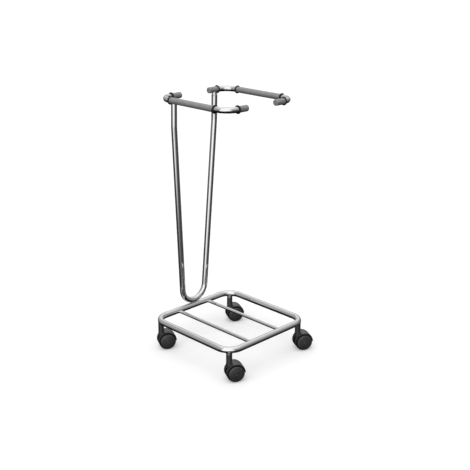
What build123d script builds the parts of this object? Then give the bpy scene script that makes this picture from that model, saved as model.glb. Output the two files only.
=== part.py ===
from build123d import *
import math
import os

# Wheeled sack stand. A square tube base runs on four twin-wheel castors. A V-shaped upright at the
# rear carries an open hoop in two halves. The halves are squeezed together by hand, the mouth of a
# sack is folded over them, and they spring back and hold it.
#
# Frame: millimetres, +Z up. The origin is on the floor under the centre of the square base. +Y is the
# rear, where the upright stands, and +X is the right side as seen from the front.

# ---- Tubes and rods ----
TUBE_RADIUS = 10.65         # base
UPRIGHT_RADIUS = 10.0
TUBE_WALL = 1.5             # base and upright
HOOP_RADIUS = 9.5
HOOP_WALL = 1.2
ROD_RADIUS = 5.8

# ---- Base ----
BASE_HALF = 182.0           # from the centre to the centreline of each side
BASE_CORNER_RADIUS = 50.0   # centreline
BASE_Z = 108.0              # centreline height
ROD_X = 69.0
ROD_DROP = 4.8              # rods lie this far under the tube's centreline

# ---- Upright ----
BEND_RADIUS = 53.0          # U-bend at the foot, centreline
KNEE_Z = 770.0              # where the spreading legs turn upright
KNEE_RADIUS = 150.0
LEG_X = 91.0                # upright part of each leg
LEG_TOP_Z = 852.0

# ---- Hoop ----
HOOP_Z = 872.0
HOOP_HALF_WIDTH = 150.0     # centreline of each side bar
HOOP_REAR_Y = 170.5
HOOP_FRONT_Y = -132.5
HOOP_BEND_RADIUS = 46.0
STUB_END_X = 66.0           # where the hoop tube ends
POST_RADIUS = 8.8
POST_SHANK_LENGTH = 30.0
POST_COLLAR_HEIGHT = 3.0
POST_COLLAR_PROUD = 0.4

# ---- Sleeves and rings ----
SLEEVE_WALL = 0.7
SLEEVE_END = 3.0            # thickness of a stub sleeve's closed end
RING_SECTION_RADIUS = 2.2
RING_STRETCH = 0.3          # how far a ring's section is flattened on the tube
RING_STUB_SETBACK = 1.0     # from the end of the bend to the ring's middle
RING_SIDE_SETBACK = 5.0
POST_SLOT_CLEARANCE = 0.3

# ---- Castors ----
WHEEL_RADIUS = 30.0
CASTOR_TRAIL = 18.0         # swivel axis to axle
CASTOR_TURN = -27.5         # degrees, direction that the castors trail in, from +X
NECK_RADIUS = 10.0
NECK_TOP_Z = 90.0
HOOD_HALF_WIDTH = 21.0
HOOD_FLAT = 12.0            # half width of the level part of the hood's back
HOOD_RADIUS = 33.2
HOOD_EDGE_RADIUS = 32.4
HOOD_WALL = 2.2
HOOD_LEAD_ANGLE = 128.0     # degrees from straight back, where the hood starts
WEB_HALF = 2.4
WEB_BOSS_RADIUS = 7.5
AXLE_RADIUS = 2.5
AXLE_HALF_LENGTH = 21.5
AXLE_FIT = 0.05
HUB_RADIUS = 7.0
HUB_START = 2.8
WHEEL_FACE = 25.0           # outer face of a wheel, from the castor's middle
WHEEL_DOME = 2.4
DISC_RADIUS = 26.2
DISC_THICKNESS = 2.2
RIM_THICKNESS = 2.5
TYRE_START = 4.4
TYRE_TREAD_END = 16.0
TYRE_FACE_RADIUS = 27.4
TYRE_EDGE = 0.8
SOCKET_RADIUS = 6.4
SOCKET_BORE = 5.4
SOCKET_FOOT_Z = 91.5
SOCKET_TOP_Z = 113.0
STEM_RADIUS = 5.35
STEM_PIN_RADIUS = 4.0
STEM_PIN_FIT = 0.05
STEM_COLLAR_RADIUS = 7.6
STEM_COLLAR_Z = 90.4
STEM_TOP_Z = 110.6
STEM_PIN_Z = 65.0
PIN_BORE_Z = 64.5
GRIP_Z = 105.5
GRIP_HEIGHT = 1.6
GRIP_INNER = 4.5
GRIP_GAP = 1.5

SIDES = {"left": -1, "right": 1}
ENDS = {"front": -1, "rear": 1}

parts = {}


def pipe(path, radius):
    """Solid round bar that follows a path."""
    section = Plane(origin=path @ 0, z_dir=path % 0) * Circle(radius)
    return sweep(section, path=path)


def tube(path, radius, wall):
    """Hollow round tube that follows a path."""
    return pipe(path, radius) - pipe(path, radius - wall)


def bar(start, end, radius):
    """Solid round bar between two points."""
    run = Vector(*end) - Vector(*start)
    return Part() + Solid.make_cylinder(radius, run.length, Plane(origin=start, z_dir=run))


# ---------------------------------------------------------------- base
def castor_corners():
    """Name and swivel axis of each castor, at the middle of each rounded corner."""
    reach = BASE_HALF - BASE_CORNER_RADIUS * (1 - math.cos(math.radians(45)))
    for end, end_sign in ENDS.items():
        for side, side_sign in SIDES.items():
            yield f"{end}_{side}", side_sign * reach, end_sign * reach


def make_base():
    ring = RectangleRounded(2 * BASE_HALF, 2 * BASE_HALF, BASE_CORNER_RADIUS).wire()
    path = Pos(0, 0, BASE_Z) * ring
    outside = pipe(path, TUBE_RADIUS)
    base = outside - pipe(path, TUBE_RADIUS - TUBE_WALL)
    for _, x, y in castor_corners():
        base -= bar((x, y, BASE_Z - 2 * TUBE_RADIUS), (x, y, BASE_Z), SOCKET_RADIUS)
    parts["base_tube"] = base
    rod_z = BASE_Z - ROD_DROP
    for side, sign in SIDES.items():
        rod = bar((sign * ROD_X, -BASE_HALF, rod_z), (sign * ROD_X, BASE_HALF, rod_z), ROD_RADIUS)
        parts[f"floor_rod_{side}"] = rod - outside
    return outside


# ---------------------------------------------------------------- upright
FOOT_Z = BASE_Z + TUBE_RADIUS + UPRIGHT_RADIUS
LEAN = math.atan2(BASE_HALF - HOOP_REAR_Y, HOOP_Z - FOOT_Z)
# The upright's own plane: local X is +X, local Y goes up the upright, from the foot of the U-bend.
UPRIGHT = Plane(
    origin=(0, BASE_HALF, FOOT_Z), x_dir=(1, 0, 0), z_dir=(0, -math.cos(LEAN), -math.sin(LEAN))
)


def up(z):
    """Distance up the upright's plane to a height above the floor."""
    return (z - FOOT_Z) / math.cos(LEAN)


def flex_point(radius):
    """Where the U-bend meets a leg, at a radius from the bend's centre, on the right side."""
    knee_up = up(KNEE_Z) - BEND_RADIUS
    to_knee = math.atan2(knee_up, LEG_X)
    angle = to_knee - math.acos(BEND_RADIUS / math.hypot(LEG_X, knee_up))
    return radius * math.cos(angle), BEND_RADIUS + radius * math.sin(angle)


def make_upright():
    bend_x, bend_y = flex_point(BEND_RADIUS)
    bend = UPRIGHT * ThreePointArc((-bend_x, bend_y), (0, 0), (bend_x, bend_y))
    parts["upright_bend"] = tube(bend, UPRIGHT_RADIUS, TUBE_WALL)
    for side, sign in SIDES.items():
        corners = [(sign * bend_x, bend_y), (sign * LEG_X, up(KNEE_Z)), (sign * LEG_X, up(LEG_TOP_Z))]
        leg = UPRIGHT * FilletPolyline(*corners, radius=KNEE_RADIUS)
        parts[f"upright_leg_{side}"] = tube(leg, UPRIGHT_RADIUS, TUBE_WALL)


# ---------------------------------------------------------------- hoop
def make_post(sign, hoop_outside):
    """Plug that joins a hoop half to its leg: shank in the leg, collar on its end, neck under the hoop."""
    def at(distance_up):
        return UPRIGHT.from_local_coords((sign * LEG_X, distance_up, 0))

    top = up(LEG_TOP_Z)
    shank = bar(at(top - POST_SHANK_LENGTH), at(top), UPRIGHT_RADIUS - TUBE_WALL)
    collar = bar(at(top), at(top + POST_COLLAR_HEIGHT), UPRIGHT_RADIUS + POST_COLLAR_PROUD)
    collar = fillet(collar.edges(), POST_COLLAR_HEIGHT / 3)
    neck = bar(at(top), at(up(HOOP_Z)), POST_RADIUS)
    return (shank + collar + neck) - hoop_outside


def make_ring(centre, direction):
    """Rubber ring stretched over the hoop tube, flattened where it grips."""
    major = HOOP_RADIUS + RING_SECTION_RADIUS - RING_STRETCH
    ring = Plane(origin=centre, z_dir=direction) * Torus(major, RING_SECTION_RADIUS)
    reach = Vector(*direction) * (2 * RING_SECTION_RADIUS)
    middle = Vector(*centre)
    return ring - bar(middle - reach, middle + reach, HOOP_RADIUS)


def make_stub_sleeve(sign, y, ring_x):
    """Closed sleeve on a free end of the hoop, from the ring to just past the tube's end."""
    start = (sign * (ring_x - RING_SECTION_RADIUS), y, HOOP_Z)
    end = (sign * (STUB_END_X - SLEEVE_END), y, HOOP_Z)
    sleeve = bar(start, end, HOOP_RADIUS + SLEEVE_WALL)
    rim = sleeve.edges().sort_by(Axis.X)[0 if sign > 0 else -1]
    sleeve = fillet(rim, SLEEVE_END * 0.8)
    return sleeve - bar(start, (sign * STUB_END_X, y, HOOP_Z), HOOP_RADIUS)


def slot_for_post(sleeve, sign):
    """Opens a rear sleeve's underside around the post, out to the ring end."""
    half = POST_RADIUS + POST_SLOT_CLEARANCE
    length = 2 * HOOP_RADIUS
    low = Pos(sign * (LEG_X + length / 2), HOOP_REAR_Y, HOOP_Z - HOOP_RADIUS)
    slot = low * Box(length, 2 * half, 2 * HOOP_RADIUS)
    post = Pos(sign * LEG_X, HOOP_REAR_Y, HOOP_Z - HOOP_RADIUS) * Cylinder(half, 2 * HOOP_RADIUS)
    return sleeve - slot - post


def make_hoop_half(side, sign):
    corners = [
        (sign * STUB_END_X, HOOP_REAR_Y, HOOP_Z),
        (sign * HOOP_HALF_WIDTH, HOOP_REAR_Y, HOOP_Z),
        (sign * HOOP_HALF_WIDTH, HOOP_FRONT_Y, HOOP_Z),
        (sign * STUB_END_X, HOOP_FRONT_Y, HOOP_Z),
    ]
    path = FilletPolyline(*corners, radius=HOOP_BEND_RADIUS)
    outside = pipe(path, HOOP_RADIUS)
    parts[f"hoop_{side}"] = outside - pipe(path, HOOP_RADIUS - HOOP_WALL)
    parts[f"hoop_post_{side}"] = make_post(sign, outside)

    stub_ring_x = HOOP_HALF_WIDTH - HOOP_BEND_RADIUS - RING_STUB_SETBACK
    side_ring_y = {}
    for end, y in (("front", HOOP_FRONT_Y), ("rear", HOOP_REAR_Y)):
        side_ring_y[end] = y - ENDS[end] * (HOOP_BEND_RADIUS + RING_SIDE_SETBACK)
        stub_centre = (sign * stub_ring_x, y, HOOP_Z)
        side_centre = (sign * HOOP_HALF_WIDTH, side_ring_y[end], HOOP_Z)
        parts[f"ring_{side}_{end}_stub"] = make_ring(stub_centre, (1, 0, 0))
        parts[f"ring_{side}_{end}_side"] = make_ring(side_centre, (0, 1, 0))
        sleeve = make_stub_sleeve(sign, y, stub_ring_x)
        if end == "rear":
            sleeve = slot_for_post(sleeve, sign)
        parts[f"{end}_sleeve_{side}"] = sleeve

    ends = [
        (sign * HOOP_HALF_WIDTH, side_ring_y["rear"] - RING_SECTION_RADIUS, HOOP_Z),
        (sign * HOOP_HALF_WIDTH, side_ring_y["front"] + RING_SECTION_RADIUS, HOOP_Z),
    ]
    sleeve = bar(*ends, HOOP_RADIUS + SLEEVE_WALL) - bar(*ends, HOOP_RADIUS)
    parts[f"side_sleeve_{side}"] = sleeve


# ---------------------------------------------------------------- castors
# Each castor is made with its swivel axis on Z and its axle behind it at +X, then turned and moved.
AXLE = Axis((CASTOR_TRAIL, 0, WHEEL_RADIUS), (0, 1, 0))
# Sections to be turned about the axle: local X runs along the axle, local Y away from it.
SECTION = Plane(origin=(CASTOR_TRAIL, 0, WHEEL_RADIUS), x_dir=(0, 1, 0), z_dir=(1, 0, 0))


def turned(outline):
    """Solid of revolution about the axle from a closed outline."""
    return revolve(SECTION * make_face(outline), axis=AXLE)


def barrel(half_width, start, radius, edge_radius):
    """One side of a crowned drum about the axle, from start to half_width along it."""
    outline = Polyline((HOOD_FLAT, radius), (start, radius), (start, 0), (half_width, 0),
                       (half_width, edge_radius))
    crown = TangentArc((HOOD_FLAT, radius), (half_width, edge_radius), tangent=(1, 0))
    return turned(outline + crown)


def both_sides(solid):
    return solid + mirror(solid, about=Plane.XZ)


def make_hood():
    inner = HOOD_RADIUS - HOOD_WALL
    inner_edge = HOOD_EDGE_RADIUS - HOOD_WALL * 0.8
    drum = both_sides(barrel(HOOD_HALF_WIDTH, 0, HOOD_RADIUS, HOOD_EDGE_RADIUS))
    pockets = both_sides(barrel(HOOD_HALF_WIDTH + 1, WEB_HALF, inner, inner_edge))

    lead = math.radians(HOOD_LEAD_ANGLE)
    far = 2 * HOOD_RADIUS
    outline = Polyline(
        (CASTOR_TRAIL, WHEEL_RADIUS),
        (CASTOR_TRAIL + far, WHEEL_RADIUS),
        (CASTOR_TRAIL + far, WHEEL_RADIUS + far),
        (CASTOR_TRAIL + far * math.cos(lead), WHEEL_RADIUS + far * math.sin(lead)),
        close=True,
    )
    covered = extrude(Plane.XZ * make_face(outline), HOOD_HALF_WIDTH + 1, both=True)
    hood = drum & covered

    neck_foot_z = WHEEL_RADIUS + HOOD_RADIUS / 2
    hood += bar((0, 0, neck_foot_z), (0, 0, NECK_TOP_Z), NECK_RADIUS)
    hood -= pockets
    axle_point = Vector(CASTOR_TRAIL, 0, WHEEL_RADIUS)
    across = Vector(0, 1, 0)
    hood += bar(axle_point - across * WEB_HALF, axle_point + across * WEB_HALF, WEB_BOSS_RADIUS)
    hood -= bar(axle_point - across * HOOD_RADIUS, axle_point + across * HOOD_RADIUS, AXLE_RADIUS)
    hood -= bar((0, 0, PIN_BORE_Z), (0, 0, NECK_TOP_Z + 1), STEM_PIN_RADIUS + STEM_PIN_FIT)
    return hood


def make_wheel():
    """Hub, face disc and rim of the wheel on the +Y side, moulded in one piece."""
    bore = AXLE_RADIUS + AXLE_FIT
    bore_end = AXLE_HALF_LENGTH + 0.2
    inner_face = WHEEL_FACE - DISC_THICKNESS
    rim_inside = DISC_RADIUS - RIM_THICKNESS
    dome_top = WHEEL_FACE + WHEEL_DOME
    walls = Polyline(
        (WHEEL_FACE, DISC_RADIUS),
        (TYRE_START, DISC_RADIUS),
        (TYRE_START, rim_inside),
        (inner_face, rim_inside),
        (inner_face, HUB_RADIUS),
        (HUB_START, HUB_RADIUS),
        (HUB_START, bore),
        (bore_end, bore),
        (bore_end, 0),
        (dome_top, 0),
    )
    dome = TangentArc((dome_top, 0), (WHEEL_FACE, DISC_RADIUS), tangent=(0, 1))
    return turned(walls + dome)


def make_tyre():
    """Tread ring of the wheel on the +Y side, with a rounded outer shoulder."""
    walls = Polyline(
        (WHEEL_FACE - TYRE_EDGE, TYRE_FACE_RADIUS),
        (WHEEL_FACE - TYRE_EDGE, DISC_RADIUS),
        (TYRE_START, DISC_RADIUS),
        (TYRE_START, WHEEL_RADIUS - TYRE_EDGE),
        (TYRE_START + TYRE_EDGE, WHEEL_RADIUS),
        (TYRE_TREAD_END, WHEEL_RADIUS),
    )
    shoulder = TangentArc(
        (TYRE_TREAD_END, WHEEL_RADIUS), (WHEEL_FACE - TYRE_EDGE, TYRE_FACE_RADIUS), tangent=(1, 0)
    )
    return turned(walls + shoulder)


def make_stem():
    stem = bar((0, 0, STEM_PIN_Z), (0, 0, STEM_COLLAR_Z), STEM_PIN_RADIUS)
    stem += bar((0, 0, STEM_COLLAR_Z), (0, 0, SOCKET_FOOT_Z), STEM_COLLAR_RADIUS)
    stem += bar((0, 0, SOCKET_FOOT_Z), (0, 0, STEM_TOP_Z), STEM_RADIUS)
    groove = bar((0, 0, GRIP_Z), (0, 0, GRIP_Z + GRIP_HEIGHT), SOCKET_BORE)
    groove -= bar((0, 0, GRIP_Z), (0, 0, GRIP_Z + GRIP_HEIGHT), GRIP_INNER)
    return stem - groove


def make_grip_ring():
    """Split spring ring in the stem's groove that holds it in the socket."""
    ring = bar((0, 0, GRIP_Z), (0, 0, GRIP_Z + GRIP_HEIGHT), SOCKET_BORE)
    ring -= bar((0, 0, GRIP_Z), (0, 0, GRIP_Z + GRIP_HEIGHT), GRIP_INNER)
    return ring - Pos(SOCKET_BORE, 0, GRIP_Z) * Box(2 * SOCKET_BORE, GRIP_GAP, 4 * GRIP_HEIGHT)


def make_socket(x, y, base_outside):
    """Welded socket: a foot under the tube, coped to it, and a blind sleeve inside the tube."""
    foot = bar((x, y, SOCKET_FOOT_Z), (x, y, BASE_Z), NECK_RADIUS) - base_outside
    sleeve = bar((x, y, SOCKET_FOOT_Z), (x, y, SOCKET_TOP_Z), SOCKET_RADIUS)
    return (foot + sleeve) - bar((x, y, SOCKET_FOOT_Z), (x, y, STEM_TOP_Z + 0.4), SOCKET_BORE)


def make_castors(base_outside):
    wheel, tyre = make_wheel(), make_tyre()
    half = Vector(0, AXLE_HALF_LENGTH, 0)
    centre = Vector(CASTOR_TRAIL, 0, WHEEL_RADIUS)
    pieces = {
        "stem": make_stem(),
        "grip_ring": make_grip_ring(),
        "hood": make_hood(),
        "axle": bar(centre - half, centre + half, AXLE_RADIUS),
        "wheel_left": wheel,
        "tyre_left": tyre,
        "wheel_right": mirror(wheel, about=Plane.XZ),
        "tyre_right": mirror(tyre, about=Plane.XZ),
    }
    for corner, x, y in castor_corners():
        place = Pos(x, y, 0) * Rot(0, 0, CASTOR_TURN)
        parts[f"castor_{corner}_socket"] = make_socket(x, y, base_outside)
        for name, solid in pieces.items():
            parts[f"castor_{corner}_{name}"] = place * solid


base_outside = make_base()
make_upright()
for side, sign in SIDES.items():
    make_hoop_half(side, sign)
make_castors(base_outside)

os.makedirs("parts", exist_ok=True)
for name, solid in parts.items():
    export_step(solid, f"parts/{name}.step")
print(len(parts), "parts")
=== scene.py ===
import math
import random

import bmesh
import bpy
from mathutils import Matrix, Vector


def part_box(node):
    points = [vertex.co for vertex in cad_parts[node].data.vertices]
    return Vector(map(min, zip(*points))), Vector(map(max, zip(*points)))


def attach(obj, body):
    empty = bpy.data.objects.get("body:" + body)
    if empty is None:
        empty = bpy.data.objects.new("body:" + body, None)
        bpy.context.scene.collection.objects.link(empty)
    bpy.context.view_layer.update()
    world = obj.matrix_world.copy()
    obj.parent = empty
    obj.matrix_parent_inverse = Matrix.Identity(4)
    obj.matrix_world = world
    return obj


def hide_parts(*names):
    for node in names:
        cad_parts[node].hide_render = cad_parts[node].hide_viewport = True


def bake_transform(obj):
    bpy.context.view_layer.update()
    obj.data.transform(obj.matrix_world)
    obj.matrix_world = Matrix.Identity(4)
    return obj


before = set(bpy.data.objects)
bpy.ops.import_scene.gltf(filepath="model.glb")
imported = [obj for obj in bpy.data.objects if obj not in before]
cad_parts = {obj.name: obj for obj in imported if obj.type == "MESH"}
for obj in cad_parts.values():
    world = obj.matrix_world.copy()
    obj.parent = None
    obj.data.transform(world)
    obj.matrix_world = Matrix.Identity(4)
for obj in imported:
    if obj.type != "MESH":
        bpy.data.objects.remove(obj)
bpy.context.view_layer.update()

# Wheeled sack stand. Metres, +Z up, floor at Z 0. +Y is the rear, +X the right side seen from the front.
MM = 0.001
SIDES = {"left": -1, "right": 1}
ENDS = {"front": -1, "rear": 1}

# ---- Sizes read from the frame ----
base_low, base_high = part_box("base_tube")
TUBE_R = (base_high.z - base_low.z) / 2
BASE_Z = (base_high.z + base_low.z) / 2
BASE_HALF = base_high.x - TUBE_R
rod_low, rod_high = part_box("floor_rod_right")
ROD_R = (rod_high.x - rod_low.x) / 2
ROD_X = (rod_high.x + rod_low.x) / 2
ROD_Z = (rod_high.z + rod_low.z) / 2
hoop_low, hoop_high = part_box("hoop_right")
HOOP_R = (hoop_high.z - hoop_low.z) / 2
HOOP_Z = (hoop_high.z + hoop_low.z) / 2
HOOP_REAR_Y = hoop_high.y - HOOP_R
LEG_R = 10 * MM              # tube of the upright
FOOT_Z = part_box("upright_bend")[0].z + LEG_R
LEG_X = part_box("upright_leg_right")[1].x - LEG_R
LEAN = math.atan2(BASE_HALF - HOOP_REAR_Y, HOOP_Z - FOOT_Z)
LEG_TOP_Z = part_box("upright_leg_right")[1].z - LEG_R * math.sin(LEAN)
socket_low, socket_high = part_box("castor_front_left_socket")
SOCKET_FOOT_R = (socket_high.x - socket_low.x) / 2
left_wheel, right_wheel = (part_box(f"castor_front_left_wheel_{side}") for side in SIDES)
AXLE = (sum(right_wheel, Vector()) - sum(left_wheel, Vector())).normalized()      # direction of every axle

# ---- Sizes of the bent tube that the frame's boxes don't give ----
BASE_CORNER_R = 50 * MM      # centreline of the base's corners
BEND_R = 53 * MM             # centreline of the U-bend at the upright's foot
KNEE_Z = 770 * MM            # where the spreading legs turn upright
KNEE_R = 150 * MM

UP = Vector((0, -math.sin(LEAN), math.cos(LEAN)))      # along the leaning upright
OUT = Vector((0, -math.cos(LEAN), -math.sin(LEAN)))    # square to the upright's plane
FOOT = Vector((0, BASE_HALF, FOOT_Z))


# ---------------------------------------------------------------- mesh helpers
def new_piece(name, mesh, material):
    piece = bpy.data.objects.new(name, mesh)
    bpy.context.scene.collection.objects.link(piece)
    mesh.materials.append(material)
    return piece


def sweep(name, path, radii, reference, segments=48, closed=False):
    """Round solid along a path. radii is one number or one for each point of the path.

    reference is a direction that the path never follows. It sets how each ring is turned.
    """
    if not isinstance(radii, (list, tuple)):
        radii = [radii] * len(path)
    count = len(path)
    bm = bmesh.new()
    rings = []
    for i, point in enumerate(path):
        ahead = path[(i + 1) % count] if closed else path[min(i + 1, count - 1)]
        behind = path[i - 1] if closed else path[max(i - 1, 0)]
        along = (ahead - behind).normalized()
        across = along.cross(reference).normalized()
        over = across.cross(along)
        ring = []
        for k in range(segments):
            turn = 2 * math.pi * k / segments
            ring.append(bm.verts.new(point + radii[i] * (math.cos(turn) * across + math.sin(turn) * over)))
        rings.append(ring)
    pairs = list(zip(rings, rings[1:]))
    if closed:
        pairs.append((rings[-1], rings[0]))
    for lower, upper in pairs:
        for k in range(segments):
            after = (k + 1) % segments
            bm.faces.new((lower[k], lower[after], upper[after], upper[k]))
    if not closed:
        for ring in (rings[0], rings[-1]):
            cap = bm.faces.new(ring)
            for edge in cap.edges:
                edge.smooth = False
    bmesh.ops.recalc_face_normals(bm, faces=bm.faces)
    mesh = bpy.data.meshes.new(name)
    bm.to_mesh(mesh)
    bm.free()
    mesh.shade_smooth()
    return mesh


def arc(centre, radius, start, end, steps, x_dir, y_dir):
    """Points of an arc in the plane of x_dir and y_dir. Angles are in radians."""
    points = []
    for i in range(steps + 1):
        turn = start + (end - start) * i / steps
        points.append(centre + radius * (math.cos(turn) * x_dir + math.sin(turn) * y_dir))
    return points


def straight(start, end, spacing):
    """Points from start to end, both included, at most spacing apart."""
    steps = max(1, math.ceil((end - start).length / spacing))
    return [start.lerp(end, i / steps) for i in range(steps + 1)]


# ---------------------------------------------------------------- node helpers
def add_node(tree, kind, inputs=(), **settings):
    """New node. inputs are by name or index, and each is a socket to link or a value to set."""
    made = tree.nodes.new(kind)
    for setting, value in settings.items():
        setattr(made, setting, value)
    for socket, value in dict(inputs).items():
        if isinstance(value, bpy.types.NodeSocket):
            tree.links.new(value, made.inputs[socket])
        else:
            made.inputs[socket].default_value = value
    return made


def mix_colours(tree, share, first, second):
    """Mix of two colours. The node takes the share and the colours at inputs 0, 6 and 7."""
    return add_node(tree, "ShaderNodeMix", {0: share, 6: first, 7: second}, data_type="RGBA").outputs[2]


def set_stops(colour_ramp, stops):
    """Each stop is (position, grey or (red, green, blue))."""
    elements = colour_ramp.elements
    while len(elements) > 1:
        elements.remove(elements[-1])
    for i, (position, colour) in enumerate(stops):
        element = elements[0] if i == 0 else elements.new(position)
        element.position = position
        red, green, blue = colour if isinstance(colour, tuple) else (colour,) * 3
        element.color = (red, green, blue, 1)


# ---------------------------------------------------------------- materials
FLOOR_GLOW = 0.25
SLIVER = 0.06 * MM           # wider than the slivers that meshing leaves in the wheels' hubs


class Material:
    """A Principled material with helpers that add its nodes."""

    def __init__(self, name, **sockets):
        self.made = bpy.data.materials.new(name)
        self.made.use_nodes = True
        self.tree = self.made.node_tree
        self.shader = self.tree.nodes["Principled BSDF"]
        for socket, value in sockets.items():
            self.shader.inputs[socket.replace("_", " ")].default_value = value
        self.place = self.node("ShaderNodeTexCoord").outputs["Object"]

    def node(self, kind, inputs=(), **settings):
        return add_node(self.tree, kind, inputs, **settings)

    def drive(self, socket, source):
        self.tree.links.new(source, self.shader.inputs[socket])

    def noise(self, size, detail=3.0, roughness=0.5, stretch=(1, 1, 1)):
        """Noise whose features are about size metres across."""
        place = self.place
        if tuple(stretch) != (1, 1, 1):
            place = self.node("ShaderNodeMapping", {"Vector": place, "Scale": stretch}).outputs[0]
        settings = {"Vector": place, "Scale": 1 / size, "Detail": detail, "Roughness": roughness}
        return self.node("ShaderNodeTexNoise", settings).outputs["Fac"]

    def grains(self, size, feature="F1"):
        settings = {"Vector": self.place, "Scale": 1 / size}
        return self.node("ShaderNodeTexVoronoi", settings, feature=feature).outputs["Distance"]

    def ramp(self, source, *stops):
        made = self.node("ShaderNodeValToRGB", {"Fac": source})
        set_stops(made.color_ramp, stops)
        return made.outputs["Color"]

    def span(self, source, low, high, floor=0.0, ceiling=1.0):
        """source from low to high becomes floor to ceiling, and stays within them."""
        settings = {"Value": source, "From Min": low, "From Max": high, "To Min": floor, "To Max": ceiling}
        return self.node("ShaderNodeMapRange", settings).outputs["Result"]

    def math(self, operation, first, second):
        return self.node("ShaderNodeMath", {0: first, 1: second}, operation=operation).outputs[0]

    def mix(self, share, first, second):
        return mix_colours(self.tree, share, first, second)

    def bump(self, *layers):
        """Each layer is (height source, depth in metres). They add up."""
        normal = None
        for source, depth in layers:
            inputs = {"Height": source, "Distance": depth, "Strength": 1.0}
            if normal is not None:
                inputs["Normal"] = normal
            normal = self.node("ShaderNodeBump", inputs).outputs["Normal"]
        self.drive("Normal", normal)


def make_chrome():
    """Bright chrome plate over drawn tube: faint plating ripple, buffing haze and handling smudges."""
    m = Material("chrome_plate", Metallic=1.0)
    smudge = m.noise(45 * MM, detail=5.0, roughness=0.6)
    haze = m.noise(6 * MM, detail=4.0)
    m.drive("Base Color", m.ramp(haze, (0.3, (0.84, 0.845, 0.855)), (0.7, (0.905, 0.91, 0.92))))
    worn = m.span(smudge, 0.52, 0.72, 0.035, 0.13)
    m.drive("Roughness", m.math("ADD", worn, m.span(haze, 0.3, 0.7, 0.0, 0.02)))
    ripple = m.noise(9 * MM, detail=1.0)
    buffing = m.noise(0.35 * MM, detail=2.0)
    m.bump((ripple, 0.03 * MM), (buffing, 0.0006 * MM))
    return m.made


def make_weld():
    """Plated weld bead: as the chrome, but rougher and slightly duller."""
    m = Material("plated_weld", Metallic=1.0)
    scale = m.noise(1.2 * MM, detail=4.0)
    m.drive("Base Color", m.ramp(scale, (0.3, (0.62, 0.62, 0.63)), (0.7, (0.82, 0.82, 0.83))))
    m.drive("Roughness", m.span(scale, 0.3, 0.7, 0.12, 0.3))
    m.bump((scale, 0.05 * MM))
    return m.made


def make_steel(name, tint, rough):
    """Zinc-plated turned steel: fine bands round the part and a soft mottle."""
    m = Material(name, Metallic=1.0)
    mottle = m.noise(3 * MM, detail=4.0)
    dark = tuple(0.75 * c for c in tint)
    m.drive("Base Color", m.ramp(mottle, (0.3, dark), (0.7, tint)))
    turned = m.noise(0.4 * MM, detail=2.0, stretch=(0.15, 0.15, 1))
    m.drive("Roughness", m.span(mottle, 0.3, 0.7, rough, rough + 0.12))
    m.bump((turned, 0.01 * MM))
    return m.made


def make_sleeve():
    """Smooth grey vinyl sleeve: soft mottle, fine grain, a few light scuffs."""
    m = Material("grey_vinyl", Coat_Weight=0.35, Coat_Roughness=0.2, Specular_IOR_Level=0.5)
    mottle = m.noise(14 * MM, detail=4.0)
    colour = m.ramp(mottle, (0.3, (0.265, 0.267, 0.27)), (0.7, (0.315, 0.317, 0.32)))
    scuffs = m.noise(2.2 * MM, detail=6.0, roughness=0.7, stretch=(1, 1, 0.35))
    scuffed = m.span(scuffs, 0.62, 0.72)
    colour = m.mix(scuffed, colour, (0.37, 0.37, 0.375, 1))
    m.drive("Base Color", colour)
    m.drive("Roughness", m.span(scuffs, 0.3, 0.7, 0.36, 0.5))
    m.bump((m.noise(5 * MM, detail=2.0), 0.05 * MM), (m.grains(0.45 * MM), 0.012 * MM))
    return m.made


def make_ring_rubber():
    """Black moulded rubber: faint bloom and a fine grain."""
    m = Material("black_rubber", Specular_IOR_Level=0.45)
    bloom = m.noise(4 * MM, detail=5.0)
    m.drive("Base Color", m.ramp(bloom, (0.35, 0.010), (0.75, 0.024)))
    m.drive("Roughness", m.span(bloom, 0.3, 0.7, 0.38, 0.56))
    m.bump((m.grains(0.3 * MM), 0.01 * MM), (bloom, 0.02 * MM))
    return m.made


def make_moulded_plastic():
    """Charcoal nylon: spark-eroded mould grain, flow mottle, scuffs that show lighter."""
    m = Material("charcoal_nylon", Specular_IOR_Level=1.0)
    flow = m.noise(16 * MM, detail=4.0)
    colour = m.ramp(flow, (0.3, (0.036, 0.036, 0.037)), (0.7, (0.052, 0.052, 0.054)))
    scratches = m.noise(3 * MM, detail=8.0, roughness=0.75)
    scuffed = m.span(scratches, 0.66, 0.76)
    colour = m.mix(scuffed, colour, (0.10, 0.10, 0.103, 1))
    m.drive("Base Color", colour)
    grain = m.grains(0.5 * MM)
    m.drive("Roughness", m.math("ADD", m.span(flow, 0.3, 0.7, 0.22, 0.30), m.span(grain, 0, 1, 0, 0.08)))
    m.bump((m.noise(7 * MM, detail=1.0), 0.05 * MM), (grain, 0.012 * MM))
    return m.made


def make_tyre():
    """Black polyurethane tread: grey dust rubbed into the running surface, and shoulders darker than the
    black rubber itself as painted shade of the gap round the wheel's disc.
    """
    m = Material("black_tread", Specular_IOR_Level=0.12)
    dust = m.noise(5 * MM, detail=7.0, roughness=0.65)
    # Shoulders: black rubber coloured darker still, as painted shade of the gap between the wheel's disc and
    # the hood.
    shoulder_painted_shade = m.ramp(dust, (0.35, (0.004, 0.004, 0.004)), (0.62, (0.007, 0.007, 0.0068)),
                      (0.78, (0.028, 0.027, 0.025)))
    worn = m.ramp(dust, (0.3, (0.036, 0.036, 0.036)), (0.7, (0.056, 0.056, 0.055)))
    normal = m.node("ShaderNodeTexCoord").outputs["Normal"]
    sideways = m.node("ShaderNodeVectorMath", {0: normal, 1: AXLE}, operation="DOT_PRODUCT").outputs["Value"]
    rubbed = m.span(m.math("MULTIPLY", sideways, sideways), 0.01, 0.08, 1.0, 0.0)
    m.drive("Base Color", m.mix(rubbed, shoulder_painted_shade, worn))
    m.drive("Roughness", m.span(dust, 0.3, 0.7, 0.42, 0.66))
    m.bump((m.grains(0.6 * MM), 0.02 * MM), (dust, 0.04 * MM))
    return m.made


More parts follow.
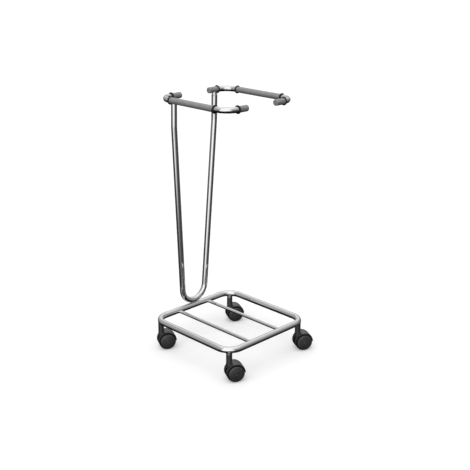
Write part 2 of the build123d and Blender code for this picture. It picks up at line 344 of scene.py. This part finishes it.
def make_floor_paper():
    """Matt white backdrop paper, lit a little from behind."""
    m = Material("backdrop_paper", Roughness=0.9, Specular_IOR_Level=0.0,
                 Emission_Color=(1, 1, 1, 1), Emission_Strength=FLOOR_GLOW)
    fibre = m.noise(40 * MM, detail=6.0)
    m.drive("Base Color", m.ramp(fibre, (0.3, 0.795), (0.7, 0.805)))
    return m.made


chrome = make_chrome()
weld = make_weld()
finishes = {
    "chrome": chrome,
    "socket_steel": make_steel("plated_socket", (0.60, 0.60, 0.61), 0.22),
    "stem_steel": make_steel("zinc_stem", (0.62, 0.62, 0.60), 0.25),
    "spring_steel": make_steel("spring_steel", (0.36, 0.35, 0.34), 0.3),
    "sleeve_grey": make_sleeve(),
    "ring_rubber": make_ring_rubber(),
    "castor_plastic": make_moulded_plastic(),
    "castor_tyre": make_tyre(),
}
for name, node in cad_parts.items():
    for material_slot in node.material_slots:
        material_slot.material = finishes[material_slot.material.name.split(".")[0]]
    if "_wheel_" in name:
        node.modifiers.new("close_slivers", "WELD").merge_threshold = SLIVER


# ---------------------------------------------------------------- upright: one bent tube
RING_SPACING = 8 * MM
BEND_RUN_ON = 12 * MM        # straight tube on each end of the U-bend's piece


def upright_corners():
    """Angle at which the U-bend ends, and the right leg's corners as (x, distance up the upright)."""
    knee_up = (KNEE_Z - FOOT_Z) / math.cos(LEAN)
    top_up = (LEG_TOP_Z - FOOT_Z) / math.cos(LEAN)
    to_knee = math.atan2(knee_up - BEND_R, LEG_X)
    turn = to_knee - math.acos(BEND_R / math.hypot(LEG_X, knee_up - BEND_R))
    start = (BEND_R * math.cos(turn), BEND_R + BEND_R * math.sin(turn))
    return turn, [start, (LEG_X, knee_up), (LEG_X, top_up)]


def on_upright(sign, x, up):
    return FOOT + Vector((sign * x, 0, 0)) + up * UP


def make_upright():
    turn, (start, knee, top) = upright_corners()
    x_axis = Vector((1, 0, 0))
    points = {s: [on_upright(s, *p) for p in (start, knee, top)] for s in SIDES.values()}
    legward = {s: (points[s][1] - points[s][0]).normalized() for s in SIDES.values()}
    joins = {s: points[s][0] + BEND_RUN_ON * legward[s] for s in SIDES.values()}

    bend_centre = FOOT + BEND_R * UP
    bend = arc(bend_centre, BEND_R, -math.pi - turn, turn, 64, x_axis, UP)
    path = [joins[-1]] + bend + [joins[1]]
    mesh = sweep("upright_foot_bend", path, LEG_R, OUT)
    piece = new_piece("upright_foot_bend", mesh, chrome)
    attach(piece, "frame")
    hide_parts("upright_bend")

    knee_turn = math.atan2(abs(knee[0] - start[0]), knee[1] - start[1])
    setback = KNEE_R * math.tan(knee_turn / 2)
    for side, sign in SIDES.items():
        knee_start = points[sign][1] - setback * legward[sign]
        knee_centre = on_upright(sign, LEG_X - KNEE_R, knee[1] + setback)
        knee_arc = arc(knee_centre, KNEE_R, -knee_turn, 0, 8, sign * x_axis, UP)
        path = straight(joins[sign], knee_start, RING_SPACING)[:-1] + knee_arc
        path += straight(knee_arc[-1], points[sign][2], RING_SPACING)[1:]
        mesh = sweep(f"leg_{side}", path, LEG_R, OUT)
        piece = new_piece(f"leg_{side}", mesh, chrome)
        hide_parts(f"upright_leg_{side}")
        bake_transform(piece)


# ---------------------------------------------------------------- welds
WELD_RIPPLE = 1.6 * MM       # length of one ripple of a bead
RIPPLE_DEPTH = 0.14          # share of a bead's radius
RIPPLE_SIZES = (0.9, 1.08)   # least and most, as a share of a bead's radius
END_TAPER = 1 / 6            # share of an open bead's length over which each end swells
END_SIZE = 0.15              # share of an open bead's section at its very ends
WELD_R = 1.0 * MM            # beads of the rods and sockets
FOOT_WELD_R = 2.0 * MM
FOOT_WELD_LENGTH = 26 * MM
FOOT_WELD_OFFSET = 5.2 * MM  # from the middle of the rear base tube


def bead(name, path, radius, reference, closed, seed):
    """Weld bead along a path: overlapping ripples of slightly uneven size."""
    draw = random.Random(seed)
    travelled = 0.0
    size = 1.0
    radii = []
    for i, point in enumerate(path):
        if i:
            travelled += (point - path[i - 1]).length
        if travelled % WELD_RIPPLE < (point - path[i - 1]).length or i == 0:
            size = draw.uniform(*RIPPLE_SIZES)
        phase = (travelled % WELD_RIPPLE) / WELD_RIPPLE
        taper = 1.0
        if not closed:
            from_end = min(i, len(path) - 1 - i) / len(path)
            taper = math.sqrt(min(1.0, END_SIZE + from_end / END_TAPER))
        swell = math.sqrt(abs(math.sin(math.pi * phase)))
        radii.append(radius * taper * size * (1 - RIPPLE_DEPTH + RIPPLE_DEPTH * swell))
    mesh = sweep(name, path, radii, reference, segments=14, closed=closed)
    piece = new_piece(name, mesh, weld)
    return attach(piece, "frame")


def make_rod_welds():
    """A closed bead round each end of each floor rod, where it meets the base tube."""
    steps = 120
    for side, sign in SIDES.items():
        for end, end_sign in ENDS.items():
            path = []
            for i in range(steps):
                turn = 2 * math.pi * i / steps
                x = sign * ROD_X + ROD_R * math.cos(turn)
                z = ROD_Z + ROD_R * math.sin(turn)
                inward = math.sqrt(TUBE_R ** 2 - (z - BASE_Z) ** 2)
                path.append(Vector((x, end_sign * (BASE_HALF - inward), z)))
            seed = 10 * sign + end_sign
            bead(f"weld_rod_{side}_{end}", path, WELD_R, Vector((0, 1, 0)), True, seed)


def make_socket_welds():
    """A closed bead round the top of each castor socket's foot, on the underside of the base's corner."""
    steps = 150
    arc_centre = BASE_HALF - BASE_CORNER_R
    for side, sign in SIDES.items():
        for end, end_sign in ENDS.items():
            low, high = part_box(f"castor_{end}_{side}_socket")
            middle = (low + high) / 2
            path = []
            for i in range(steps):
                turn = 2 * math.pi * i / steps
                x = middle.x + SOCKET_FOOT_R * math.cos(turn)
                y = middle.y + SOCKET_FOOT_R * math.sin(turn)
                from_centreline = math.hypot(x - sign * arc_centre, y - end_sign * arc_centre) - BASE_CORNER_R
                z = BASE_Z - math.sqrt(TUBE_R ** 2 - from_centreline ** 2)
                path.append(Vector((x, y, z)))
            seed = 20 * sign + end_sign
            bead(f"weld_socket_{end}_{side}", path, WELD_R, Vector((0, 0, 1)), True, seed)


def make_foot_welds():
    """A bead on each side of the line where the U-bend stands on the rear base tube."""
    steps = 90
    for end, sign in ENDS.items():
        path = []
        for i in range(steps + 1):
            x = FOOT_WELD_LENGTH * (i / steps - 0.5)
            lift = BEND_R + LEG_R - math.sqrt((BEND_R + LEG_R) ** 2 - x ** 2)
            path.append(Vector((x, BASE_HALF + sign * FOOT_WELD_OFFSET, BASE_Z + TUBE_R + lift / 2)))
        bead(f"weld_foot_{end}", path, FOOT_WELD_R, Vector((0, 0, 1)), False, 30 + sign)


make_upright()
make_rod_welds()
make_socket_welds()
make_foot_welds()


# ---------------------------------------------------------------- floor, light and camera
HEADING = math.radians(45.275)        # camera's direction over the floor, from +Y towards +X
PITCH = math.radians(18.9)            # camera's direction, down from level
ROLL = math.radians(0.5)
CAMERA_PLACE = Vector((-2.008, -2.012, 1.390))
FOCAL_LENGTH = 68.8                   # mm, on a sensor of this width
SENSOR_WIDTH = 36.0
FAR_CLIP = 200.0
FLOOR_HALF = 40.0
TOP_LIGHT = 1.0
TOP_LIGHT_SPREAD = math.radians(60)
TOP_LIGHT_AIM = Vector((0.45, 0.1, -1))
SURROUND_STRENGTH = 1.08

# Brightness of each side of the surround, as (degrees above the horizon, brightness). Left and right are the
# camera's, front is the side behind the camera, and back is the side it looks towards.
LEFT_SKY = (
    (-90, 0.001), (-44, 0.004), (-25, 0.03), (-13, 0.07), (-4, 0.24), (12, 0.34), (45, 0.38), (80, 0.95))
RIGHT_SKY = (
    (-90, 0.001), (-44, 0.004), (-25, 0.05), (-12, 0.055), (-2, 0.17), (16, 0.26), (38, 0.42), (50, 0.62),
    (80, 0.95))
FRONT_SKY = (
    (-90, 0.001), (-44, 0.006), (-30, 0.05), (-22, 0.14), (-16, 0.50), (-10, 0.92), (2, 1.0), (90, 1.0))
FRONT_LEFT_SKY = (
    (-90, 0.001), (-44, 0.006), (-30, 0.06), (-25, 0.22), (-21, 0.85), (-12, 1.0), (90, 1.0))
BACK_SKY = (
    (-90, 0.001), (-50, 0.003), (-22, 0.01), (-8, 0.07), (0, 0.20), (8, 0.44), (24, 0.70), (60, 0.85),
    (90, 0.95))

# ((turn from the side behind the camera, full within, gone beyond) in degrees, sky). Later covers earlier.
SURROUND_PATCHES = (
    ((90, 60, 120), LEFT_SKY),
    ((6, 10, 48), FRONT_SKY),
    ((22, 6, 30), FRONT_LEFT_SKY),
    ((180, 10, 42), BACK_SKY),
)


def make_floor():
    bm = bmesh.new()
    bmesh.ops.create_grid(bm, x_segments=8, y_segments=8, size=FLOOR_HALF)
    mesh = bpy.data.meshes.new("floor")
    bm.to_mesh(mesh)
    bm.free()
    floor = bpy.data.objects.new("floor", mesh)
    bpy.context.scene.collection.objects.link(floor)
    mesh.materials.append(make_floor_paper())
    floor.visible_diffuse = False
    floor.visible_glossy = False


def make_surround():
    """Light from all round, different to each side. The camera itself sees plain white."""
    world = bpy.data.worlds.new("studio")
    bpy.context.scene.world = world
    world.use_nodes = True
    tree = world.node_tree
    background = tree.nodes["Background"]

    direction = add_node(tree, "ShaderNodeTexCoord").outputs["Generated"]
    rise = add_node(tree, "ShaderNodeSeparateXYZ", {0: direction}).outputs["Z"]
    height = add_node(tree, "ShaderNodeMath", {0: rise, 1: 0.5, 2: 0.5}, operation="MULTIPLY_ADD")
    level = add_node(tree, "ShaderNodeVectorMath", {0: direction, 1: (1, 1, 0)}, operation="MULTIPLY")
    heading = add_node(tree, "ShaderNodeVectorMath", {0: level.outputs[0]}, operation="NORMALIZE")

    def sky(stops):
        """Brightness by height above the horizon."""
        made = add_node(tree, "ShaderNodeValToRGB", {0: height.outputs[0]})
        set_stops(made.color_ramp, [((math.sin(math.radians(e)) + 1) / 2, b) for e, b in stops])
        return made.outputs["Color"]

    def towards(turn, narrow, wide):
        """1 within the narrow angle of a heading over the floor, 0 outside the wide angle."""
        pair = {0: heading.outputs[0], 1: (math.sin(turn), math.cos(turn), 0)}
        nearness = add_node(tree, "ShaderNodeVectorMath", pair, operation="DOT_PRODUCT").outputs["Value"]
        edges = {"Value": nearness, "From Min": math.cos(wide), "From Max": math.cos(narrow)}
        return add_node(tree, "ShaderNodeMapRange", edges, interpolation_type="SMOOTHSTEP").outputs["Result"]

    light = sky(RIGHT_SKY)
    for angles, stops in SURROUND_PATCHES:
        turn, narrow, wide = (math.radians(angle) for angle in angles)
        light = mix_colours(tree, towards(HEADING + math.pi + turn, narrow, wide), light, sky(stops))
    tree.links.new(light, background.inputs["Color"])
    background.inputs["Strength"].default_value = SURROUND_STRENGTH

    seen = add_node(tree, "ShaderNodeBackground", {"Color": (1, 1, 1, 1)})
    camera_ray = add_node(tree, "ShaderNodeLightPath").outputs["Is Camera Ray"]
    shaders = {0: camera_ray, 1: background.outputs[0], 2: seen.outputs[0]}
    choice = add_node(tree, "ShaderNodeMixShader", shaders)
    tree.links.new(choice.outputs[0], tree.nodes["World Output"].inputs["Surface"])


def make_top_light():
    """Very soft light from above and to the left. It isn't seen in the chrome."""
    data = bpy.data.lights.new("top_light", "SUN")
    data.energy = TOP_LIGHT
    data.angle = TOP_LIGHT_SPREAD
    lamp = bpy.data.objects.new("top_light", data)
    bpy.context.scene.collection.objects.link(lamp)
    lamp.rotation_euler = TOP_LIGHT_AIM.to_track_quat("-Z", "Y").to_euler()
    lamp.visible_glossy = False


def make_camera():
    data = bpy.data.cameras.new("camera")
    data.lens = FOCAL_LENGTH
    data.sensor_width = SENSOR_WIDTH
    data.clip_end = FAR_CLIP
    camera = bpy.data.objects.new("camera", data)
    bpy.context.scene.collection.objects.link(camera)
    forward = Vector((
        math.sin(HEADING) * math.cos(PITCH), math.cos(HEADING) * math.cos(PITCH), -math.sin(PITCH)))
    level = forward.cross(Vector((0, 0, 1))).normalized()
    lift = level.cross(forward)
    right = math.cos(ROLL) * level + math.sin(ROLL) * lift
    top = -math.sin(ROLL) * level + math.cos(ROLL) * lift
    turned = Matrix((right, top, -forward)).transposed().to_4x4()
    camera.matrix_world = Matrix.Translation(CAMERA_PLACE) @ turned
    bpy.context.scene.camera = camera


make_floor()
make_surround()
make_top_light()
make_camera()
bpy.context.scene.view_settings.view_transform = "Standard"
